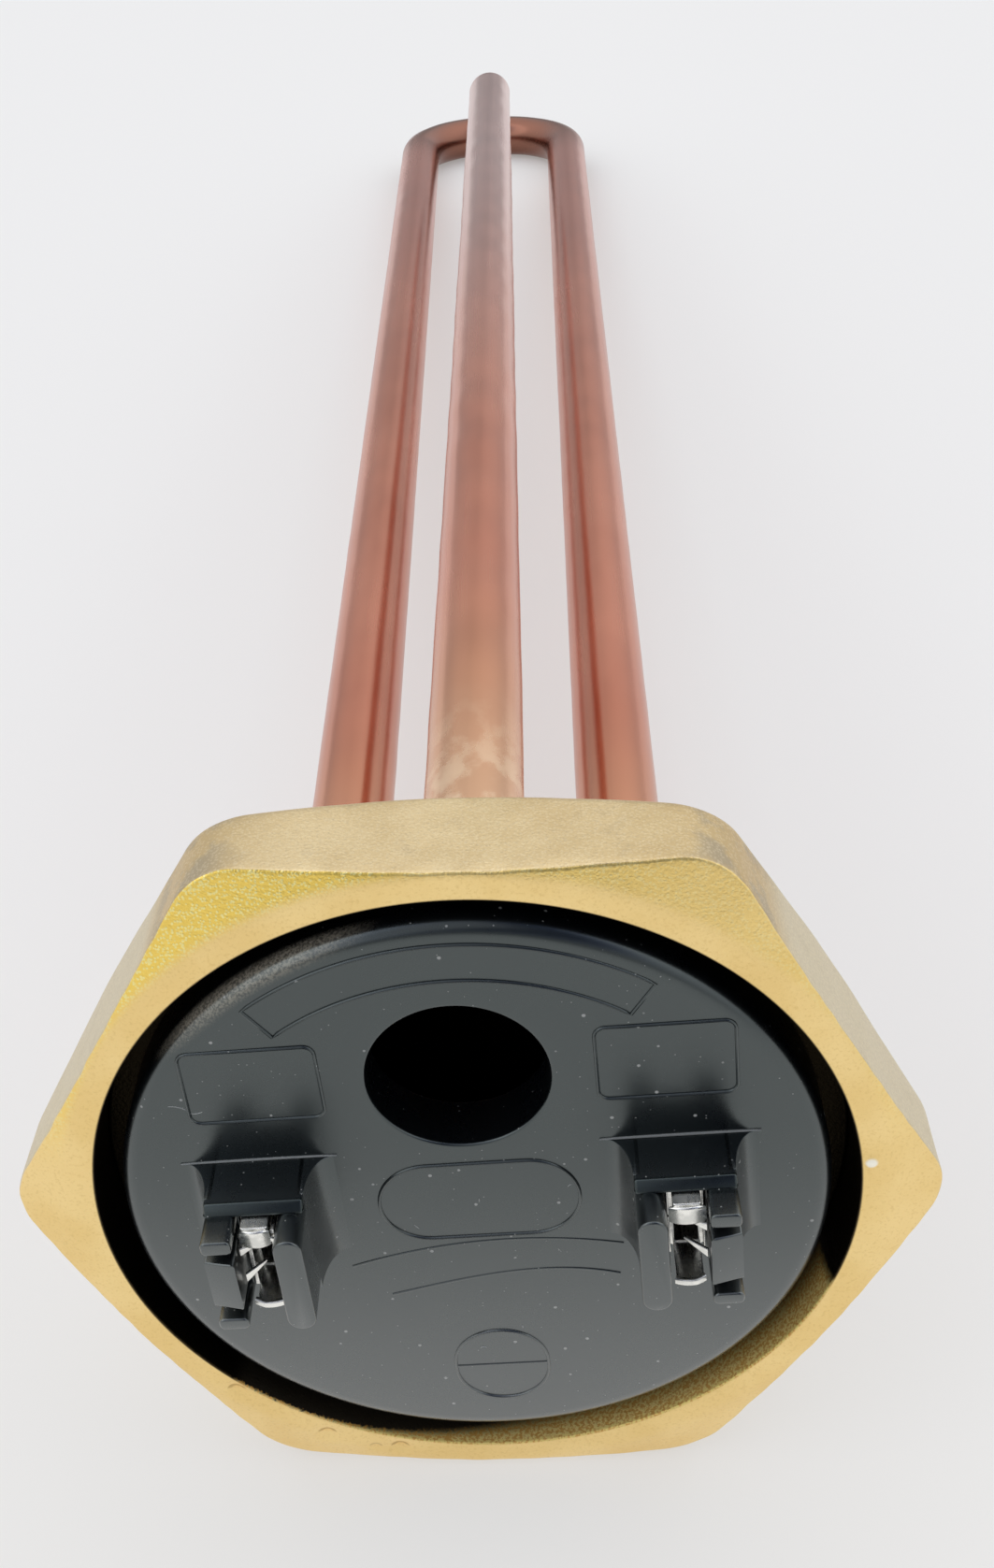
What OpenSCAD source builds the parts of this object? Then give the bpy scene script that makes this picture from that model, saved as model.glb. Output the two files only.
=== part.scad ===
// Screw plug immersion heater: a hexagon plug that carries a U-shaped heating element,
// a closed well for a control rod, and a moulded insert with two blade sockets.
// +Y runs along the plug's axis into the tank and +Z is up. The origin is where that
// axis crosses the sealing shoulder behind the hexagon, so the front face is at -Y.

/* [Plug] */
// Hexagon, across the flats
hex_af = 55; // [54:0.5:60]
// Hexagon thickness, from the front face to the sealing shoulder
head_t = 8; // [7.5:0.5:10]
// Rounding of the hexagon's six corner edges
hex_edge_r = 5; // [2:0.5:6]
// Slope of the front chamfer that takes the corners back, in degrees
front_slope = 15; // [8:1:22]
// Width that the front chamfer takes off the middle of each flat
face_edge = 0.4; // [0.2:0.1:0.8]
// Slope of the rear chamfer on the corners, in degrees
rear_slope = 20; // [8:1:22]
// Wall between the middle of each flat and the recess
rim_wall = 2.1; // [1.5:0.1:3]
// Depth of that recess
recess_depth = 5; // [4.5:0.1:5.5]
// Outside diameter of the tank thread, whose turns are left out
thread_d = 41.91; // [41.5:0.01:42.5]
// Length of the threaded spigot behind the shoulder
thread_len = 10.5; // [9:0.5:18]
// Chamfer on the end of the spigot
thread_lead = 1.5; // [0.5:0.1:2]
// Wall of the spigot round the terminal space, under the thread
spigot_wall = 3.555; // [2.5:0.005:4]
// Thickness of the end wall that carries the tubes
end_wall = 4; // [3:0.5:5]

/* [Heating element] */
// Outside diameter of the copper sheath
sheath_d = 7.6; // [7:0.1:8]
// Wall of the sheath
sheath_wall = 0.7; // [0.5:0.1:0.9]
// Clearance between each leg and the wall of the terminal space
leg_margin = 0.6; // [0.3:0.1:1.5]
// Drop of the legs below the plug's axis
leg_drop = 5; // [4:0.1:5.5]
// Radius of the return bend, to the middle of the tube
bend_r = 15; // [12.5:0.1:15.5]
// Reach of the element, from the shoulder to the outside of the bend
element_len = 300; // [200:5:400]
// Length of sheath that stands inside the terminal space
sheath_stub = 4; // [3:0.5:5]
// Diameter of the terminal pins
pin_d = 2.8; // [2.6:0.1:3]
// Length of each pin behind the end wall
cold_len = 45; // [30:5:80]
// Thickness of the wound resistance wire
wire_t = 0.5; // [0.3:0.1:0.8]
// Length of coil wound onto the end of each pin
coil_grip = 8; // [5:1:12]
// Depth of resin that seals each end of the sheath
seal_len = 3; // [2:0.5:4]
// Length of each half of the insulating bush, the flange and the neck
bush_half = 2; // [1.5:0.1:2.5]
// Diameter of the bush's flange
bush_d = 7; // [6.6:0.1:7.6]

/* [Well] */
// Outside diameter of the well
well_d = 7.8; // [7:0.1:8.2]
// Wall of the well
well_wall = 0.5; // [0.4:0.1:0.8]
// Clearance between the well and the wall of the terminal space
well_margin = 2.2; // [1:0.1:3]
// Reach of the well, from the shoulder to its closed tip
well_len = 266; // [180:2:380]
// Length of well that stands inside the terminal space
well_stub = 3; // [2:0.5:5]
// Size of the braze fillet round each tube
braze_leg = 1.5; // [0.8:0.1:1.8]

/* [Terminal insert] */
// Gap between the insert's rim and the recess
insert_gap = 1.7; // [0.5:0.1:2.5]
// Thickness of its face plate
plate_t = 2.2; // [1.8:0.1:2.6]
// Rounding of the face plate's rim
rim_r = 1.2; // [0.6:0.1:1.5]
// Thickness of the skirt that stands on the recess floor
skirt_t = 1.6; // [1.2:0.1:2]
// Turn of the insert against the hexagon, in degrees
insert_turn = 3.3; // [0:0.1:4]
// Hole for the control rod
rod_hole_d = 11.8; // [10:0.1:13]
// Wall of the collars behind the face plate
collar_t = 1; // [0.8:0.1:1.2]

/* [Socket towers] */
// Distance between the two towers
tower_pitch = 27.6; // [27.4:0.1:28]
// Top of a tower, above the insert's middle
tower_top = 5.2; // [5:0.1:5.6]
// Foot of a tower, below the insert's middle
tower_foot = 3.6; // [3.4:0.1:4]
// Width of the hollow flare where a tower's side meets the face
flare_w = 1.8; // [1:0.1:2]
// Reach of the flare along the tower's side, in front of the face
flare_reach = 3.2; // [2:0.1:3.6]
// Reach of the posts in front of the face
post_reach = 6.6; // [5.5:0.1:8]
// Reach of the top wall in front of the face
wall_reach = 4.2; // [3:0.1:5]
// Thickness of the top wall
tower_wall = 0.8; // [0.6:0.1:1]
// Width of the post on the insert's inner side
inner_post_w = 1.9; // [1.6:0.1:1.9]
// Width of the slotted post on the outer side
outer_post_w = 2; // [1.6:0.1:2]
// Height of the outer post's piece above the upper slot
slot_drop = 1.1; // [0.8:0.1:1.2]
// Height of the upper slot in the outer post
upper_slot = 0.7; // [0.4:0.1:0.9]
// Height of the lower slot in the outer post
lower_slot = 1.25; // [0.8:0.05:1.4]
// Height of the snap tongue between the slots
tongue_h = 4.1; // [3.6:0.1:4.4]
// Fall of the tongue's sloped end, in degrees
tongue_slope = 12; // [6:1:35]

/* [Contacts] */
// Sheet that the contacts are folded from
sheet_t = 0.4; // [0.3:0.05:0.5]
// Width of the folded socket
contact_w = 2.4; // [2.2:0.1:2.4]
// Height of the folded socket
contact_h = 7.5; // [7:0.1:7.5]
// Reach of the socket in front of the insert's face
contact_reach = 4.8; // [4:0.1:5.4]
// Length of closed box in front of the socket's window
window_lip = 1; // [0.6:0.1:1.4]
// Play of the spring above and below, inside its window
spring_play = 0.5; // [0.3:0.1:0.8]
// Lean of the spring tongue inside the socket, in degrees
spring_lean = 14; // [8:1:18]
// Thickness of the tail, folded double
tail_t = 0.8; // [0.5:0.1:1]
// Radius of the tail's eye round the pin
eye_r = 2.4; // [2:0.1:2.6]

/* [Hidden] */
$fn = 96;
brass = "#c9a54a";
copper = "#b5796a";
braze = "#c9a77c";
white_ceramic = "#e6e2d8";
resin = "#8d5a3c";
steel = "#9a9ca0";
tin = "#c8c9c6";
black = "#34373a";

cut = 0.5;
sides = [-1, 1];
face_y = -head_t;
recess_y = face_y + recess_depth;
wall_y = thread_len - end_wall;
recess_d = hex_af - 2 * rim_wall;
cavity_r = thread_d / 2 - spigot_wall;

// The round corners reach past the flats, and the chamfers take them back
corner_reach = (hex_af / 2 - hex_edge_r) / cos(30) + hex_edge_r;
flat_len = 2 * (hex_af / 2 - hex_edge_r) * tan(30);
front_land = hex_af / 2 - face_edge;
rear_land = hex_af / 2;
front_fall = (corner_reach - front_land) * tan(front_slope);
rear_fall = (corner_reach - rear_land) * tan(rear_slope);

// Legs stand next to the wall of the terminal space and lean outward to meet the bend
sheath_id = sheath_d - 2 * sheath_wall;
coil_d = pin_d + 2 * wire_t;
leg_ring = cavity_r - leg_margin - sheath_d / 2;
leg_x = sqrt(leg_ring * leg_ring - leg_drop * leg_drop);
bend_y = element_len - bend_r - sheath_d / 2;
leg_gap_y = bend_y - thread_len;
leg_lean = asin(bend_r / norm([leg_x, leg_gap_y])) - atan2(leg_x, leg_gap_y);
leg_run = leg_gap_y * cos(leg_lean) - leg_x * sin(leg_lean);
bend_swell = 0.1;
bend_lap = 0.5;
well_rise = cavity_r - well_margin - well_d / 2;

// Distances along a leg, counted from the end wall's rear face
sheath_from = -end_wall - sheath_stub;
seal_from = sheath_from + bush_half;
fill_from = seal_from + seal_len;
coil_from = cold_len - coil_grip;

// Depths behind the insert's face
pocket_play = 0.1;
collar_depth = recess_depth - tail_t - 2 * pocket_play;
contact_depth = collar_depth + pocket_play + tail_t;
eye_y = face_y + contact_depth - tail_t;

// Each pin ends in front of the contact's eye, in the play that keeps it off the collars
pin_proud = pocket_play / 2;
pin_from = (eye_y - pin_proud - thread_len) / cos(leg_lean);

// Depth of the flares' thin feet inside the face plate
flare_lap = 0.05;

// Heights on the insert, and the place of the socket between a tower's posts
insert_r = recess_d / 2 - insert_gap;
tower_w = inner_post_w + outer_post_w + contact_w + 2 * pocket_play;
socket_x = (inner_post_w - outer_post_w) / 2;
wall_foot = tower_top - tower_wall;
post_top = wall_foot + pocket_play;
tongue_top = post_top - slot_drop - upper_slot;
tongue_foot = tongue_top - tongue_h;
contact_foot = wall_foot - pocket_play - contact_h;

// A pin's place at its eye, seen from the tower on the same side
function pin_reach_x() = leg_x + (eye_y - thread_len) * tan(leg_lean);
function pin_at(side) = [
    pin_reach_x() * cos(insert_turn) - side * leg_drop * sin(insert_turn) - tower_pitch / 2,
    -side * pin_reach_x() * sin(insert_turn) - leg_drop * cos(insert_turn)
];

// Turns a shape drawn upright to lie along +Y, from a point on the axis or beside it
module along(y = 0, x = 0, z = 0) {
    translate([x, y, z]) rotate([-90, 0, 0]) children();
}

// Same for a leg: the local height is the distance along it from the end wall
module on_leg(side) {
    translate([side * leg_x, thread_len, -leg_drop])
        rotate([0, 0, -side * leg_lean]) rotate([-90, 0, 0]) children();
}

// A round section along both legs and round the bend, where a bent tube swells a little
module u_rod(d, from) {
    for (side = sides) on_leg(side)
        translate([0, 0, from]) cylinder(d = d, h = leg_run + bend_lap - from);
    translate([0, bend_y, -leg_drop]) rotate([0, 0, -leg_lean])
        rotate_extrude(angle = 180 + 2 * leg_lean)
            translate([bend_r, 0]) circle(d = d + bend_swell);
}

// The same path with a bore through it
module u_tube(outer, inner, from) {
    difference() {
        u_rod(outer, from);
        u_rod(inner, from - cut);
    }
}

// Hexagon with round corners, flats up and down
module rounded_hexagon() {
    for (turn = [0 : 60 : 120]) rotate(turn) square([flat_len, hex_af], center = true);
    for (turn = [0 : 60 : 300])
        rotate(turn) translate([corner_reach - hex_edge_r, 0]) circle(r = hex_edge_r);
}

module head() {
    intersection() {
        along(face_y) linear_extrude(head_t) rounded_hexagon();
        along(face_y) rotate_extrude() polygon([
            [0, 0], [front_land, 0], [corner_reach, front_fall],
            [corner_reach, head_t - rear_fall], [rear_land, head_t], [0, head_t]
        ]);
    }
}

module spigot() {
    along(-cut) rotate_extrude() polygon([
        [0, 0], [thread_d / 2, 0], [thread_d / 2, cut + thread_len - thread_lead],
        [thread_d / 2 - thread_lead, cut + thread_len], [0, cut + thread_len]
    ]);
}

module hex_plug() {
    color(brass) difference() {
        union() {
            head();
            spigot();
        }
        along(face_y - cut) cylinder(d = recess_d, h = recess_depth + cut);
        along(recess_y - cut) cylinder(r = cavity_r, h = wall_y - recess_y + cut);
        for (side = sides)
            on_leg(side) translate([0, 0, -end_wall - cut]) cylinder(d = sheath_d, h = end_wall + 2 * cut);
        along(wall_y - cut, 0, well_rise) cylinder(d = well_d, h = end_wall + 2 * cut);
    }
}

module heater_sheath() {
    color(copper) u_tube(sheath_d, sheath_id, sheath_from);
}

module magnesia_fill() {
    color(white_ceramic) difference() {
        u_rod(sheath_id, fill_from);
        u_tube(coil_d, pin_d, coil_from);
        for (side = sides) on_leg(side)
            translate([0, 0, fill_from - cut]) cylinder(d = pin_d, h = cold_len - fill_from + cut);
    }
}

module resistance_coil() {
    color(steel) u_tube(coil_d, pin_d, coil_from);
}

module terminal_pin(side) {
    color(steel) on_leg(side) translate([0, 0, pin_from]) cylinder(d = pin_d, h = cold_len - pin_from);
}

module end_seal(side) {
    color(resin) on_leg(side) translate([0, 0, seal_from]) difference() {
        cylinder(d = sheath_id, h = seal_len);
        translate([0, 0, -cut]) cylinder(d = pin_d, h = seal_len + 2 * cut);
    }
}

module pin_bush(side) {
    color(white_ceramic) on_leg(side) translate([0, 0, sheath_from]) difference() {
        union() {
            translate([0, 0, -bush_half]) cylinder(d = bush_d, h = bush_half);
            translate([0, 0, -bush_half]) cylinder(d = sheath_id, h = 2 * bush_half);
        }
        translate([0, 0, -bush_half - cut]) cylinder(d = pin_d, h = 2 * bush_half + 2 * cut);
    }
}

// Closed end rounded off as a half ball, inside and outside
module well_rod(d, from, tip) {
    along(from, 0, well_rise) {
        cylinder(d = d, h = tip - d / 2 - from);
        translate([0, 0, tip - d / 2 - from]) sphere(d = d);
    }
}

module thermowell() {
    color(copper) difference() {
        well_rod(well_d, wall_y - well_stub, well_len);
        well_rod(well_d - 2 * well_wall, wall_y - well_stub - cut, well_len - well_wall);
    }
}

// Conical bead of filler in the corner between a tube and the end wall, as a turned profile
module bead(tube_d) {
    lip = braze_leg / 6;
    rotate_extrude() translate([tube_d / 2, 0])
        polygon([[0, -lip], [braze_leg, -lip], [braze_leg, lip], [lip, braze_leg], [0, braze_leg]]);
}

// The bead's foot lies flat on the end wall, also round a leg that leans
module seat_bead() {
    color(braze) difference() {
        children();
        along(0) cylinder(d = thread_d, h = thread_len);
    }
}

// Frame of a socket tower: x outward from the plug's axis, y = 0 at the insert's face
module at_tower(side) {
    rotate([0, -insert_turn, 0]) mirror([side < 0 ? 1 : 0, 0, 0])
        translate([tower_pitch / 2, face_y, 0]) children();
}

// Post with round ends, standing on the face plate
module post(x, w) {
    translate([x, plate_t / 2, 0]) rotate([90, 0, 0]) linear_extrude(post_reach + plate_t / 2) {
        translate([-w / 2, w / 2 - tower_foot]) square([w, post_top + tower_foot - w]);
        translate([0, w / 2 - tower_foot]) circle(d = w);
        translate([0, post_top - w / 2]) circle(d = w);
    }
}

// Hollow curve between a tower's side and the face, over the tower's full height
module flare() {
    steps = [180 : -15 : 90];
    arc = [for (a = steps) [flare_w * (1 + cos(a)), flare_lap + flare_reach * (sin(a) - 1)]];
    translate([tower_w / 2, 0, -tower_foot]) linear_extrude(tower_top + tower_foot)
        polygon(concat([[-cut, plate_t / 2], [-cut, arc[0][1]]], arc, [[flare_w, plate_t / 2]]));
}

module tower() {
    outer_x = tower_w / 2 - outer_post_w / 2;
    post(inner_post_w / 2 - tower_w / 2, inner_post_w);
    difference() {
        post(outer_x, outer_post_w);
        for (slot = [[tongue_top, upper_slot], [tongue_foot - lower_slot, lower_slot]])
            translate([outer_x - outer_post_w, -post_reach - cut, slot[0]])
                cube([2 * outer_post_w, post_reach - flare_reach - tower_wall + cut, slot[1]]);
        translate([outer_x - outer_post_w / 2, -post_reach, tongue_foot])
            rotate([0, 0, tongue_slope]) translate([-outer_post_w, -post_reach, 0])
                cube([3 * outer_post_w, post_reach, tongue_h]);
    }
    flare();
    mirror([1, 0, 0]) flare();
    translate([-tower_w / 2, -wall_reach, wall_foot])
        cube([tower_w, wall_reach + plate_t / 2, tower_wall]);
}

// Block round the socket with a margin on each side, between two depths
module socket_block(margin, from, to) {
    translate([socket_x - contact_w / 2 - margin, from, contact_foot - margin])
        cube([contact_w + 2 * margin, to - from, contact_h + 2 * margin]);
}

module insert_cap() {
    along(face_y) rotate_extrude() difference() {
        union() {
            square([insert_r - rim_r, recess_depth]);
            translate([0, rim_r]) square([insert_r, recess_depth - rim_r]);
            translate([insert_r - rim_r, rim_r]) circle(r = rim_r);
        }
        translate([0, plate_t]) square([insert_r - skirt_t, recess_depth]);
    }
}

module terminal_insert() {
    rod_x = -well_rise * sin(insert_turn);
    rod_z = well_rise * cos(insert_turn);
    color(black) difference() {
        union() {
            insert_cap();
            along(face_y + plate_t / 2, rod_x, rod_z)
                cylinder(d = rod_hole_d + 2 * collar_t, h = collar_depth - plate_t / 2);
            for (side = sides) at_tower(side) {
                tower();
                socket_block(pocket_play + collar_t, plate_t / 2, collar_depth);
            }
        }
        along(face_y - cut, rod_x, rod_z) cylinder(d = rod_hole_d, h = collar_depth + 2 * cut);
        for (side = sides) at_tower(side) socket_block(pocket_play, -post_reach - cut, collar_depth + cut);
    }
}

// Socket folded as a box, with a window and a leaning spring in its outer side
module socket() {
    inside = [contact_w - 2 * sheet_t, contact_reach + contact_depth + 2 * cut, contact_h - 2 * sheet_t];
    side_x = socket_x + contact_w / 2 - sheet_t;
    difference() {
        socket_block(0, -contact_reach, contact_depth);
        translate([side_x - inside[0], -contact_reach - cut, contact_foot + sheet_t]) cube(inside);
        translate([side_x - sheet_t, window_lip - contact_reach, tongue_foot])
            cube([3 * sheet_t, contact_reach - window_lip, tongue_h]);
    }
    translate([side_x, window_lip - sheet_t / 4 - contact_reach, tongue_foot + spring_play])
        rotate([0, 0, spring_lean]) cube([sheet_t, contact_reach, tongue_h - 2 * spring_play]);
}

// The tail folds down behind the insert and runs to an eye that is welded round the pin
module contact(side) {
    eye = pin_at(side);
    tail_y = contact_depth - tail_t;
    tail_foot = [socket_x, contact_foot + sheet_t];
    run = eye - tail_foot;
    color(tin) difference() {
        at_tower(side) {
            socket();
            translate([tail_foot[0], tail_y, tail_foot[1]]) rotate([0, -atan2(run[1], run[0]), 0])
                translate([0, 0, -contact_w / 2]) cube([norm(run), tail_t, contact_w]);
            translate([eye[0], tail_y, eye[1]]) rotate([-90, 0, 0]) cylinder(r = eye_r, h = tail_t);
        }
        on_leg(side) translate([0, 0, pin_from]) cylinder(d = pin_d, h = cold_len - pin_from);
    }
}

hex_plug();
heater_sheath();
magnesia_fill();
resistance_coil();
terminal_pin(-1);  // terminal_pin_left
terminal_pin(1);  // terminal_pin_right
end_seal(-1);  // end_seal_left
end_seal(1);  // end_seal_right
pin_bush(-1);  // pin_bush_left
pin_bush(1);  // pin_bush_right
thermowell();
seat_bead() on_leg(-1) bead(sheath_d);  // braze_left
seat_bead() on_leg(1) bead(sheath_d);  // braze_right
seat_bead() along(thread_len, 0, well_rise) bead(well_d);  // braze_well
terminal_insert();
contact(-1);  // contact_left
contact(1);  // contact_right
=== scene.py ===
"""Looks of the screw plug immersion heater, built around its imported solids.

Lengths in this file are in millimetres until a mesh is made. +Y runs along the plug's axis
into the tank, +Z is up, and the insert's front is at -Y.
"""
import math

import bmesh
import bpy
import numpy as np
from mathutils import Matrix, Vector


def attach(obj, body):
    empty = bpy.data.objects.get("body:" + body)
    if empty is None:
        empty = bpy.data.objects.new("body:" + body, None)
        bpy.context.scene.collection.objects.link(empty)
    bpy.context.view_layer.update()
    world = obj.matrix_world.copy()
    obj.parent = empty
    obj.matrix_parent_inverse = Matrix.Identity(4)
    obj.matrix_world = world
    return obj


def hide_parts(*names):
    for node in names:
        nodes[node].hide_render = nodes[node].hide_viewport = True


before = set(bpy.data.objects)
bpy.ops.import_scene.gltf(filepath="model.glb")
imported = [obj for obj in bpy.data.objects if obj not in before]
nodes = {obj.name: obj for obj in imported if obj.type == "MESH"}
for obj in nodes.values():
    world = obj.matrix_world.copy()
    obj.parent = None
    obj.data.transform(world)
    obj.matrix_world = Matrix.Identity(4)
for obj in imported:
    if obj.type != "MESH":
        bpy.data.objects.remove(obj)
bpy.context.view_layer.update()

MM = 0.001
FULL_TURN = 2 * math.pi

# Plug
HEX_HALF = 27.5
HEX_EDGE_R = 5.0
CORNER_REACH = (HEX_HALF - HEX_EDGE_R) / math.cos(math.pi / 6) + HEX_EDGE_R
FACE_Y = -8.0
FRONT_LAND = 27.1
FRONT_SLOPE = math.tan(math.radians(15))
REAR_SLOPE = math.tan(math.radians(20))
RECESS_R = 25.4
RECESS_Y = -3.0
CAVITY_R = 17.4
WALL_Y = 6.5
THREAD_R = 20.955
THREAD_DEPTH = 1.479
THREAD_PITCH = 25.4 / 11
THREAD_END = 10.5
THREAD_LEAD = 1.5
THREAD_START = 0.4
# Small pits in the front rim, and one bump: x, z, depth, width
PITS = [
    (-18.2, -19.1, 0.3, 0.7), (-12.0, -24.2, 0.4, 0.7), (-6.7, -25.9, 0.4, 0.7),
    (-8.5, -25.8, 0.2, 0.5), (25.9, 3.2, -0.2, 0.5),
]

# Tubes
SHEATH_R = 3.8
SHEATH_BORE_R = 3.1
BEND_SWELL = 0.05
LEG_X = 12.0
LEG_Z = -5.0
BEND_R = 15.0
BEND_Y = 281.2
SHEATH_STUB = 8.0
WELL_R = 3.9
WELL_BORE_R = 3.4
WELL_Z = 11.3
WELL_MOUTH = 3.5
WELL_TIP = 266.0
BRAZE_LEG = 1.5
BRAZE_SINK = 0.1
HOLE_SPAN = -6.0, 3.0
WELL_FOOT = np.array([0, THREAD_END, WELL_Z])
INTO_TANK = np.array([0, 1.0, 0])
UP = np.array([0, 0, 1.0])

# Insert and towers
INSERT_R = 23.7
RIM_R = 1.2
PLATE_T = 2.2
SKIRT_T = 1.6
COLLAR_DEPTH = 4.0
COLLAR_T = 1.0
ROD_HOLE_R = 5.9
INSERT_TURN = math.radians(3.3)
TOWER_X = 13.8
TOWER_HALF = 3.25
TOWER_TOP = 5.2
TOWER_FOOT = -3.6
FLARE_W = 1.8
FLARE_REACH = 3.2
POST_REACH = 6.6
WALL_REACH = 4.2
WALL_BEVEL = 0.5
WALL_FOOT = 4.4
POST_TOP = 4.5
INNER_POST_W = 1.9
OUTER_POST_W = 2.0
TONGUE_TOP = 2.7
TONGUE_FOOT = -1.4
UPPER_PIECE_FOOT = 3.4
LOWER_PIECE_TOP = -2.65
TONGUE_FALL = math.tan(math.radians(12))
SOCKET_X = -0.05
SOCKET_HALF_W = 1.2
SOCKET_TOP = 4.3
SOCKET_FOOT = -3.2
SOCKET_REACH = 4.8
SLEEVE_REACH = 1.6
SHEET_T = 0.4
TAIL_Y = 4.1
TAIL_T = 0.8
EYE_R = 2.4
PIN_R = 1.4
POCKET_PLAY = 0.1

SIDES = ("left", -1), ("right", 1)
SHARP = math.radians(38)


# Meshes

def grid_faces(rows, cols, wrap_rows, wrap_cols, first, skip=()):
    """Quads between neighbouring points of a grid, closed on itself along either way."""
    i = np.array([k for k in range(rows if wrap_rows else rows - 1) if k not in skip])
    j = np.arange(cols if wrap_cols else cols - 1)
    i, j = np.meshgrid(i, j, indexing="ij")
    below, beside = (i + 1) % rows, (j + 1) % cols
    quads = np.stack([i * cols + j, i * cols + beside, below * cols + beside, below * cols + j], -1)
    return (quads.reshape(-1, 4) + first).tolist()


class Shell:
    """One grid of points with the ways it closes, and outlines that a flat face fills."""

    def __init__(self, points, wrap_rows=False, wrap_cols=True, skip=(), caps=(), marks=None):
        self.points = points
        self.wraps = wrap_rows, wrap_cols
        self.skip = skip
        self.caps = caps
        self.marks = marks or {}

    def moved(self, move):
        """The same grid with its points moved."""
        return Shell(move(self.points), *self.wraps, self.skip, self.caps, self.marks)


def mesh_of(name, shells):
    """Mesh of one or more shells: poles and seams merged, faces pointing outwards."""
    points, faces, marks, first = [], [], {}, 0
    for shell in shells:
        rows, cols = shell.points.shape[:2]
        faces += grid_faces(rows, cols, *shell.wraps, first, shell.skip)
        for row in shell.caps:
            faces.append([first + row % rows * cols + j for j in range(cols)])
        points.append(shell.points.reshape(-1, 3))
        for key, value in shell.marks.items():
            marks.setdefault(key, []).append(np.broadcast_to(value, (rows, cols)).ravel())
        first += rows * cols
    mesh = bpy.data.meshes.new(name)
    mesh.from_pydata((np.concatenate(points) * MM).tolist(), [], faces)
    for key, values in marks.items():
        layer = mesh.attributes.new(key, "FLOAT", "POINT")
        layer.data.foreach_set("value", np.concatenate(values).astype(np.float32))
    work = bmesh.new()
    work.from_mesh(mesh)
    bmesh.ops.remove_doubles(work, verts=work.verts, dist=1e-7)
    bmesh.ops.recalc_face_normals(work, faces=work.faces)
    work.to_mesh(mesh)
    work.free()
    return mesh


def show(name, mesh, finish, slot, *replaced):
    """Puts a finished mesh into the scene on the part's one body."""
    mesh.shade_smooth()
    mesh.set_sharp_from_angle(angle=SHARP)
    mesh.materials.clear()
    mesh.materials.append(finish)
    piece = bpy.data.objects.new(name, mesh)
    bpy.context.scene.collection.objects.link(piece)
    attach(piece, "root")
    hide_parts(*replaced)


def pierced(mesh, cutters):
    """The mesh with each cutter's closed mesh taken away from it."""
    scene = bpy.context.scene.collection
    body = bpy.data.objects.new("body", mesh)
    scene.objects.link(body)
    tools = []
    for number, cutter in enumerate(cutters):
        tool = bpy.data.objects.new(f"cutter_{number}", mesh_of(f"cutter_{number}", [cutter]))
        scene.objects.link(tool)
        tools.append(tool)
        bite = body.modifiers.new(tool.name, "BOOLEAN")
        bite.operation = "DIFFERENCE"
        bite.solver = "EXACT"
        bite.object = tool
    seen = body.evaluated_get(bpy.context.evaluated_depsgraph_get())
    cut = bpy.data.meshes.new_from_object(seen)
    for tool in [body, *tools]:
        bpy.data.objects.remove(tool)
    return cut


def smooth(low, high, value):
    """0 below low, 1 above high, and a smooth S between them."""
    t = np.clip((value - low) / (high - low), 0, 1)
    return t * t * (3 - 2 * t)


def ripple(points, wavelength, seed):
    """Seven plane waves with seeded directions and phases, added to about -1 to 1."""
    rng = np.random.default_rng(seed)
    waves = rng.normal(size=(7, 3))
    waves *= FULL_TURN / wavelength / np.linalg.norm(waves, axis=1, keepdims=True)
    phase = rng.uniform(0, FULL_TURN, 7)
    return np.sin(points @ waves.T + phase).sum(-1) / 4


def rounded(corners, radii, arc=5, fill=1):
    """Rows of a polyline: each corner is cut back by its radius along both sides and the
    cut is a parabola with the corner as its control point, (1-t)^2 a + 2t(1-t) v + t^2 b.
    """
    corners = np.stack(np.broadcast_arrays(*[np.asarray(c, float) for c in corners]))
    rows = [corners[:1]]
    t = np.linspace(0, 1, arc)[:, None, None]
    for k in range(1, len(corners) - 1):
        here = corners[k]
        to_last, to_next = corners[k - 1] - here, corners[k + 1] - here
        last_len = np.linalg.norm(to_last, axis=-1, keepdims=True) + 1e-9
        next_len = np.linalg.norm(to_next, axis=-1, keepdims=True) + 1e-9
        cut = np.minimum(radii[k - 1], 0.48 * np.minimum(last_len, next_len))
        a, b = here + to_last / last_len * cut, here + to_next / next_len * cut
        rows.append((1 - t) ** 2 * a + 2 * t * (1 - t) * here + t * t * b)
    rows.append(corners[-1:])
    if fill > 1:
        steps = np.linspace(0, 1, fill, endpoint=False)[1:, None, None]
        spread = [rows[0]]
        for last, following in zip(rows, rows[1:]):
            spread += [last[-1:] + (following[:1] - last[-1:]) * steps, following]
        rows = spread
    return np.concatenate(rows)


def turned(profile, angles, centre=(0, 0)):
    """Surface of revolution about the Y direction: rows of (radius, y) at each angle."""
    radius, y = profile[..., 0], profile[..., 1] + 0 * angles
    x = centre[0] + radius * np.cos(angles)
    z = centre[1] + radius * np.sin(angles)
    return np.stack([x, y, z], -1)


def circle_of(count):
    """Angles of evenly spaced points round a full turn."""
    return np.linspace(0, FULL_TURN, count, endpoint=False)


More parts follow.
